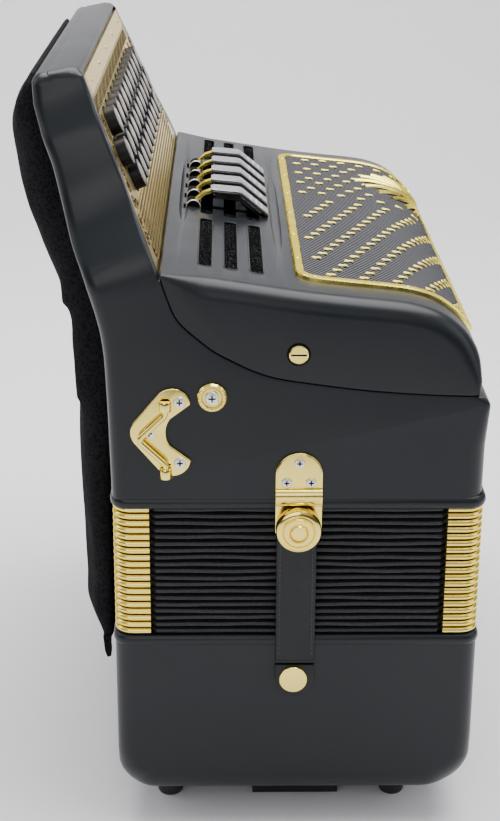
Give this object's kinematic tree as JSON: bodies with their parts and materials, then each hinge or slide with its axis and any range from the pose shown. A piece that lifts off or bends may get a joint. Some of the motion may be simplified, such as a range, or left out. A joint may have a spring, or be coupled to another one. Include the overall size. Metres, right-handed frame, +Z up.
{
  "type": "button accordion",
  "caption": "Three-row button accordion with black case, gilt fittings, pleated bellows, treble and bass buttons, register switches and back pad, standing on its bass end",
  "frame": {"origin": "centre of the footprint of the bounding box, on the floor under the feet", "axes": "+X towards the audience (grille side), -X towards the player (back pad), +Y along the rows of buttons away from the end seen first, +Z up from the bass end to the keyboard"},
  "size_m": [0.2241, 0.35, 0.3715],
  "materials": {
    "case_black": "satin charcoal lacquer",
    "gold": "polished gold plating",
    "plate_gold": "brushed pale gold with engraved lines",
    "cloth_black": "fine black cloth",
    "pad_black": "padded mesh fabric",
    "bellows_black": "pleated bellows cloth with metal corner caps",
    "wood": "sealed spruce",
    "leather": "black stitched leather",
    "key_black": "gloss black with pearl tops",
    "button_pearl": "pearl",
    "register_silver": "satin silver"
  },
  "bodies": {
    "bass_end": {"bass_case": "case_black", "bass_reed_block": "wood", "bass_strap": "leather", "bass_fittings": "gold", "bellows": "bellows_black"},
    "treble_end": {"treble_case": "case_black", "button_plate": "plate_gold", "grille_cover": "case_black", "grille_frame": "gold", "grille_cloth": "cloth_black", "treble_soundboard": "wood", "treble_reed_blocks": "wood", "treble_fittings": "gold", "back_pad": "pad_black"},
    "bellows_strap_near": {"bellows_strap_near": "leather"},
    "bellows_strap_far": {"bellows_strap_far": "leather"},
    "strap_loop_near": {"strap_loop_near": "gold"},
    "strap_loop_far": {"strap_loop_far": "gold"},
    "air_button": {"air_button": "button_pearl"},
    "bass_buttons_row_1": {"bass_buttons_row_1": "button_pearl"},
    "bass_buttons_row_2": {"bass_buttons_row_2": "button_pearl"},
    "register_switch_1": {"register_switch_1": "register_silver"},
    "register_switch_2": {"register_switch_2": "register_silver"},
    "register_switch_3": {"register_switch_3": "register_silver"},
    "register_switch_4": {"register_switch_4": "register_silver"},
    "register_switch_5": {"register_switch_5": "register_silver"},
    "treble_key_r1_01": {"treble_key_r1_01": "key_black"},
    "treble_key_r1_02": {"treble_key_r1_02": "key_black"},
    "treble_key_r1_03": {"treble_key_r1_03": "key_black"},
    "treble_key_r1_04": {"treble_key_r1_04": "key_black"},
    "treble_key_r1_05": {"treble_key_r1_05": "key_black"},
    "treble_key_r1_06": {"treble_key_r1_06": "key_black"},
    "treble_key_r1_07": {"treble_key_r1_07": "key_black"},
    "treble_key_r1_08": {"treble_key_r1_08": "key_black"},
    "treble_key_r1_09": {"treble_key_r1_09": "key_black"},
    "treble_key_r1_10": {"treble_key_r1_10": "key_black"},
    "treble_key_r1_11": {"treble_key_r1_11": "key_black"},
    "treble_key_r2_01": {"treble_key_r2_01": "key_black"},
    "treble_key_r2_02": {"treble_key_r2_02": "key_black"},
    "treble_key_r2_03": {"treble_key_r2_03": "key_black"},
    "treble_key_r2_04": {"treble_key_r2_04": "key_black"},
    "treble_key_r2_05": {"treble_key_r2_05": "key_black"},
    "treble_key_r2_06": {"treble_key_r2_06": "key_black"},
    "treble_key_r2_07": {"treble_key_r2_07": "key_black"},
    "treble_key_r2_08": {"treble_key_r2_08": "key_black"},
    "treble_key_r2_09": {"treble_key_r2_09": "key_black"},
    "treble_key_r2_10": {"treble_key_r2_10": "key_black"},
    "treble_key_r2_11": {"treble_key_r2_11": "key_black"},
    "treble_key_r2_12": {"treble_key_r2_12": "key_black"},
    "treble_key_r3_01": {"treble_key_r3_01": "key_black"},
    "treble_key_r3_02": {"treble_key_r3_02": "key_black"},
    "treble_key_r3_03": {"treble_key_r3_03": "key_black"},
    "treble_key_r3_04": {"treble_key_r3_04": "key_black"},
    "treble_key_r3_05": {"treble_key_r3_05": "key_black"},
    "treble_key_r3_06": {"treble_key_r3_06": "key_black"},
    "treble_key_r3_07": {"treble_key_r3_07": "key_black"},
    "treble_key_r3_08": {"treble_key_r3_08": "key_black"},
    "treble_key_r3_09": {"treble_key_r3_09": "key_black"},
    "treble_key_r3_10": {"treble_key_r3_10": "key_black"},
    "treble_key_r3_11": {"treble_key_r3_11": "key_black"}
  },
  "joints": [
    {"name": "bellows_slide", "type": "slide", "parent": "bass_end", "child": "treble_end", "axis": [0, 0, 1], "range_m": [0, 0.22], "deforming": ["bellows"]},
    {"name": "bellows_strap_near_turn", "type": "hinge", "parent": "bass_end", "child": "bellows_strap_near", "pos_m": [0.0227, -0.1657, 0.095], "axis": [1, 0, 0], "range_deg": [0, 120]},
    {"name": "bellows_strap_far_turn", "type": "hinge", "parent": "bass_end", "child": "bellows_strap_far", "pos_m": [0.0227, 0.1657, 0.095], "axis": [-1, 0, 0], "range_deg": [0, 120]},
    {"name": "strap_loop_near_swing", "type": "hinge", "parent": "treble_end", "child": "strap_loop_near", "pos_m": [-0.0383, -0.167, 0.21], "axis": [0, 0, 1], "range_deg": [0, 120]},
    {"name": "strap_loop_far_swing", "type": "hinge", "parent": "treble_end", "child": "strap_loop_far", "pos_m": [-0.0383, 0.167, 0.21], "axis": [0, 0, -1], "range_deg": [0, 120]},
    {"name": "register_switch_1_tilt", "type": "hinge", "parent": "treble_end", "child": "register_switch_1", "pos_m": [0.0087, 0.072, 0.2765], "axis": [0, -1, 0], "range_deg": [0, 5], "stiffness_Nm_per_rad": 0.6, "springref_deg": -14.32},
    {"name": "register_switch_2_tilt", "type": "hinge", "parent": "treble_end", "child": "register_switch_2", "pos_m": [0.0087, 0.0482, 0.2765], "axis": [0, -1, 0], "range_deg": [0, 5], "stiffness_Nm_per_rad": 0.6, "springref_deg": -14.32},
    {"name": "register_switch_3_tilt", "type": "hinge", "parent": "treble_end", "child": "register_switch_3", "pos_m": [0.0087, 0.0244, 0.2765], "axis": [0, -1, 0], "range_deg": [0, 5], "stiffness_Nm_per_rad": 0.6, "springref_deg": -14.32},
    {"name": "register_switch_4_tilt", "type": "hinge", "parent": "treble_end", "child": "register_switch_4", "pos_m": [0.0087, 0.0006, 0.2765], "axis": [0, -1, 0], "range_deg": [0, 5], "stiffness_Nm_per_rad": 0.6, "springref_deg": -14.32},
    {"name": "register_switch_5_tilt", "type": "hinge", "parent": "treble_end", "child": "register_switch_5", "pos_m": [0.0087, -0.0232, 0.2765], "axis": [0, -1, 0], "range_deg": [0, 5], "stiffness_Nm_per_rad": 0.6, "springref_deg": -14.32},
    {"name": "air_button_press", "type": "slide", "parent": "bass_end", "child": "air_button", "axis": [0, 0, 1], "range_m": [0, 0.004], "stiffness_N_per_m": 300, "springref_m": -0.004},
    {"name": "bass_buttons_row_1_press", "type": "slide", "parent": "bass_end", "child": "bass_buttons_row_1", "axis": [0, 0, 1], "range_m": [0, 0.004], "stiffness_N_per_m": 400, "springref_m": -0.005},
    {"name": "bass_buttons_row_2_press", "type": "slide", "parent": "bass_end", "child": "bass_buttons_row_2", "axis": [0, 0, 1], "range_m": [0, 0.004], "stiffness_N_per_m": 400, "springref_m": -0.005},
    {"name": "treble_key_r1_01_press", "type": "hinge", "parent": "treble_end", "child": "treble_key_r1_01", "pos_m": [-0.0333, -0.10812, 0.259], "axis": [0, -1, 0], "range_deg": [0, 3], "stiffness_Nm_per_rad": 0.5, "springref_deg": -8.59},
    {"name": "treble_key_r1_02_press", "type": "hinge", "parent": "treble_end", "child": "treble_key_r1_02", "pos_m": [-0.0333, -0.08962, 0.259], "axis": [0, -1, 0], "range_deg": [0, 3], "stiffness_Nm_per_rad": 0.5, "springref_deg": -8.59},
    {"name": "treble_key_r1_03_press", "type": "hinge", "parent": "treble_end", "child": "treble_key_r1_03", "pos_m": [-0.0333, -0.07112, 0.259], "axis": [0, -1, 0], "range_deg": [0, 3], "stiffness_Nm_per_rad": 0.5, "springref_deg": -8.59},
    {"name": "treble_key_r1_04_press", "type": "hinge", "parent": "treble_end", "child": "treble_key_r1_04", "pos_m": [-0.0333, -0.05262, 0.259], "axis": [0, -1, 0], "range_deg": [0, 3], "stiffness_Nm_per_rad": 0.5, "springref_deg": -8.59},
    {"name": "treble_key_r1_05_press", "type": "hinge", "parent": "treble_end", "child": "treble_key_r1_05", "pos_m": [-0.0333, -0.03413, 0.259], "axis": [0, -1, 0], "range_deg": [0, 3], "stiffness_Nm_per_rad": 0.5, "springref_deg": -8.59},
    {"name": "treble_key_r1_06_press", "type": "hinge", "parent": "treble_end", "child": "treble_key_r1_06", "pos_m": [-0.0333, -0.01562, 0.259], "axis": [0, -1, 0], "range_deg": [0, 3], "stiffness_Nm_per_rad": 0.5, "springref_deg": -8.59},
    {"name": "treble_key_r1_07_press", "type": "hinge", "parent": "treble_end", "child": "treble_key_r1_07", "pos_m": [-0.0333, 0.00287, 0.259], "axis": [0, -1, 0], "range_deg": [0, 3], "stiffness_Nm_per_rad": 0.5, "springref_deg": -8.59},
    {"name": "treble_key_r1_08_press", "type": "hinge", "parent": "treble_end", "child": "treble_key_r1_08", "pos_m": [-0.0333, 0.02138, 0.259], "axis": [0, -1, 0], "range_deg": [0, 3], "stiffness_Nm_per_rad": 0.5, "springref_deg": -8.59},
    {"name": "treble_key_r1_09_press", "type": "hinge", "parent": "treble_end", "child": "treble_key_r1_09", "pos_m": [-0.0333, 0.03988, 0.259], "axis": [0, -1, 0], "range_deg": [0, 3], "stiffness_Nm_per_rad": 0.5, "springref_deg": -8.59},
    {"name": "treble_key_r1_10_press", "type": "hinge", "parent": "treble_end", "child": "treble_key_r1_10", "pos_m": [-0.0333, 0.05838, 0.259], "axis": [0, -1, 0], "range_deg": [0, 3], "stiffness_Nm_per_rad": 0.5, "springref_deg": -8.59},
    {"name": "treble_key_r1_11_press", "type": "hinge", "parent": "treble_end", "child": "treble_key_r1_11", "pos_m": [-0.0333, 0.07687, 0.259], "axis": [0, -1, 0], "range_deg": [0, 3], "stiffness_Nm_per_rad": 0.5, "springref_deg": -8.59},
    {"name": "treble_key_r2_01_press", "type": "hinge", "parent": "treble_end", "child": "treble_key_r2_01", "pos_m": [-0.0333, -0.11275, 0.259], "axis": [0, -1, 0], "range_deg": [0, 3], "stiffness_Nm_per_rad": 0.5, "springref_deg": -8.59},
    {"name": "treble_key_r2_02_press", "type": "hinge", "parent": "treble_end", "child": "treble_key_r2_02", "pos_m": [-0.0333, -0.09425, 0.259], "axis": [0, -1, 0], "range_deg": [0, 3], "stiffness_Nm_per_rad": 0.5, "springref_deg": -8.59},
    {"name": "treble_key_r2_03_press", "type": "hinge", "parent": "treble_end", "child": "treble_key_r2_03", "pos_m": [-0.0333, -0.07575, 0.259], "axis": [0, -1, 0], "range_deg": [0, 3], "stiffness_Nm_per_rad": 0.5, "springref_deg": -8.59},
    {"name": "treble_key_r2_04_press", "type": "hinge", "parent": "treble_end", "child": "treble_key_r2_04", "pos_m": [-0.0333, -0.05725, 0.259], "axis": [0, -1, 0], "range_deg": [0, 3], "stiffness_Nm_per_rad": 0.5, "springref_deg": -8.59},
    {"name": "treble_key_r2_05_press", "type": "hinge", "parent": "treble_end", "child": "treble_key_r2_05", "pos_m": [-0.0333, -0.03875, 0.259], "axis": [0, -1, 0], "range_deg": [0, 3], "stiffness_Nm_per_rad": 0.5, "springref_deg": -8.59},
    {"name": "treble_key_r2_06_press", "type": "hinge", "parent": "treble_end", "child": "treble_key_r2_06", "pos_m": [-0.0333, -0.02025, 0.259], "axis": [0, -1, 0], "range_deg": [0, 3], "stiffness_Nm_per_rad": 0.5, "springref_deg": -8.59},
    {"name": "treble_key_r2_07_press", "type": "hinge", "parent": "treble_end", "child": "treble_key_r2_07", "pos_m": [-0.0333, -0.00175, 0.259], "axis": [0, -1, 0], "range_deg": [0, 3], "stiffness_Nm_per_rad": 0.5, "springref_deg": -8.59},
    {"name": "treble_key_r2_08_press", "type": "hinge", "parent": "treble_end", "child": "treble_key_r2_08", "pos_m": [-0.0333, 0.01675, 0.259], "axis": [0, -1, 0], "range_deg": [0, 3], "stiffness_Nm_per_rad": 0.5, "springref_deg": -8.59},
    {"name": "treble_key_r2_09_press", "type": "hinge", "parent": "treble_end", "child": "treble_key_r2_09", "pos_m": [-0.0333, 0.03525, 0.259], "axis": [0, -1, 0], "range_deg": [0, 3], "stiffness_Nm_per_rad": 0.5, "springref_deg": -8.59},
    {"name": "treble_key_r2_10_press", "type": "hinge", "parent": "treble_end", "child": "treble_key_r2_10", "pos_m": [-0.0333, 0.05375, 0.259], "axis": [0, -1, 0], "range_deg": [0, 3], "stiffness_Nm_per_rad": 0.5, "springref_deg": -8.59},
    {"name": "treble_key_r2_11_press", "type": "hinge", "parent": "treble_end", "child": "treble_key_r2_11", "pos_m": [-0.0333, 0.07225, 0.259], "axis": [0, -1, 0], "range_deg": [0, 3], "stiffness_Nm_per_rad": 0.5, "springref_deg": -8.59},
    {"name": "treble_key_r2_12_press", "type": "hinge", "parent": "treble_end", "child": "treble_key_r2_12", "pos_m": [-0.0333, 0.09075, 0.259], "axis": [0, -1, 0], "range_deg": [0, 3], "stiffness_Nm_per_rad": 0.5, "springref_deg": -8.59},
    {"name": "treble_key_r3_01_press", "type": "hinge", "parent": "treble_end", "child": "treble_key_r3_01", "pos_m": [-0.0333, -0.1035, 0.259], "axis": [0, -1, 0], "range_deg": [0, 3], "stiffness_Nm_per_rad": 0.5, "springref_deg": -8.59},
    {"name": "treble_key_r3_02_press", "type": "hinge", "parent": "treble_end", "child": "treble_key_r3_02", "pos_m": [-0.0333, -0.085, 0.259], "axis": [0, -1, 0], "range_deg": [0, 3], "stiffness_Nm_per_rad": 0.5, "springref_deg": -8.59},
    {"name": "treble_key_r3_03_press", "type": "hinge", "parent": "treble_end", "child": "treble_key_r3_03", "pos_m": [-0.0333, -0.0665, 0.259], "axis": [0, -1, 0], "range_deg": [0, 3], "stiffness_Nm_per_rad": 0.5, "springref_deg": -8.59},
    {"name": "treble_key_r3_04_press", "type": "hinge", "parent": "treble_end", "child": "treble_key_r3_04", "pos_m": [-0.0333, -0.048, 0.259], "axis": [0, -1, 0], "range_deg": [0, 3], "stiffness_Nm_per_rad": 0.5, "springref_deg": -8.59},
    {"name": "treble_key_r3_05_press", "type": "hinge", "parent": "treble_end", "child": "treble_key_r3_05", "pos_m": [-0.0333, -0.0295, 0.259], "axis": [0, -1, 0], "range_deg": [0, 3], "stiffness_Nm_per_rad": 0.5, "springref_deg": -8.59},
    {"name": "treble_key_r3_06_press", "type": "hinge", "parent": "treble_end", "child": "treble_key_r3_06", "pos_m": [-0.0333, -0.011, 0.259], "axis": [0, -1, 0], "range_deg": [0, 3], "stiffness_Nm_per_rad": 0.5, "springref_deg": -8.59},
    {"name": "treble_key_r3_07_press", "type": "hinge", "parent": "treble_end", "child": "treble_key_r3_07", "pos_m": [-0.0333, 0.0075, 0.259], "axis": [0, -1, 0], "range_deg": [0, 3], "stiffness_Nm_per_rad": 0.5, "springref_deg": -8.59},
    {"name": "treble_key_r3_08_press", "type": "hinge", "parent": "treble_end", "child": "treble_key_r3_08", "pos_m": [-0.0333, 0.026, 0.259], "axis": [0, -1, 0], "range_deg": [0, 3], "stiffness_Nm_per_rad": 0.5, "springref_deg": -8.59},
    {"name": "treble_key_r3_09_press", "type": "hinge", "parent": "treble_end", "child": "treble_key_r3_09", "pos_m": [-0.0333, 0.0445, 0.259], "axis": [0, -1, 0], "range_deg": [0, 3], "stiffness_Nm_per_rad": 0.5, "springref_deg": -8.59},
    {"name": "treble_key_r3_10_press", "type": "hinge", "parent": "treble_end", "child": "treble_key_r3_10", "pos_m": [-0.0333, 0.063, 0.259], "axis": [0, -1, 0], "range_deg": [0, 3], "stiffness_Nm_per_rad": 0.5, "springref_deg": -8.59},
    {"name": "treble_key_r3_11_press", "type": "hinge", "parent": "treble_end", "child": "treble_key_r3_11", "pos_m": [-0.0333, 0.0815, 0.259], "axis": [0, -1, 0], "range_deg": [0, 3], "stiffness_Nm_per_rad": 0.5, "springref_deg": -8.59}
  ]
}
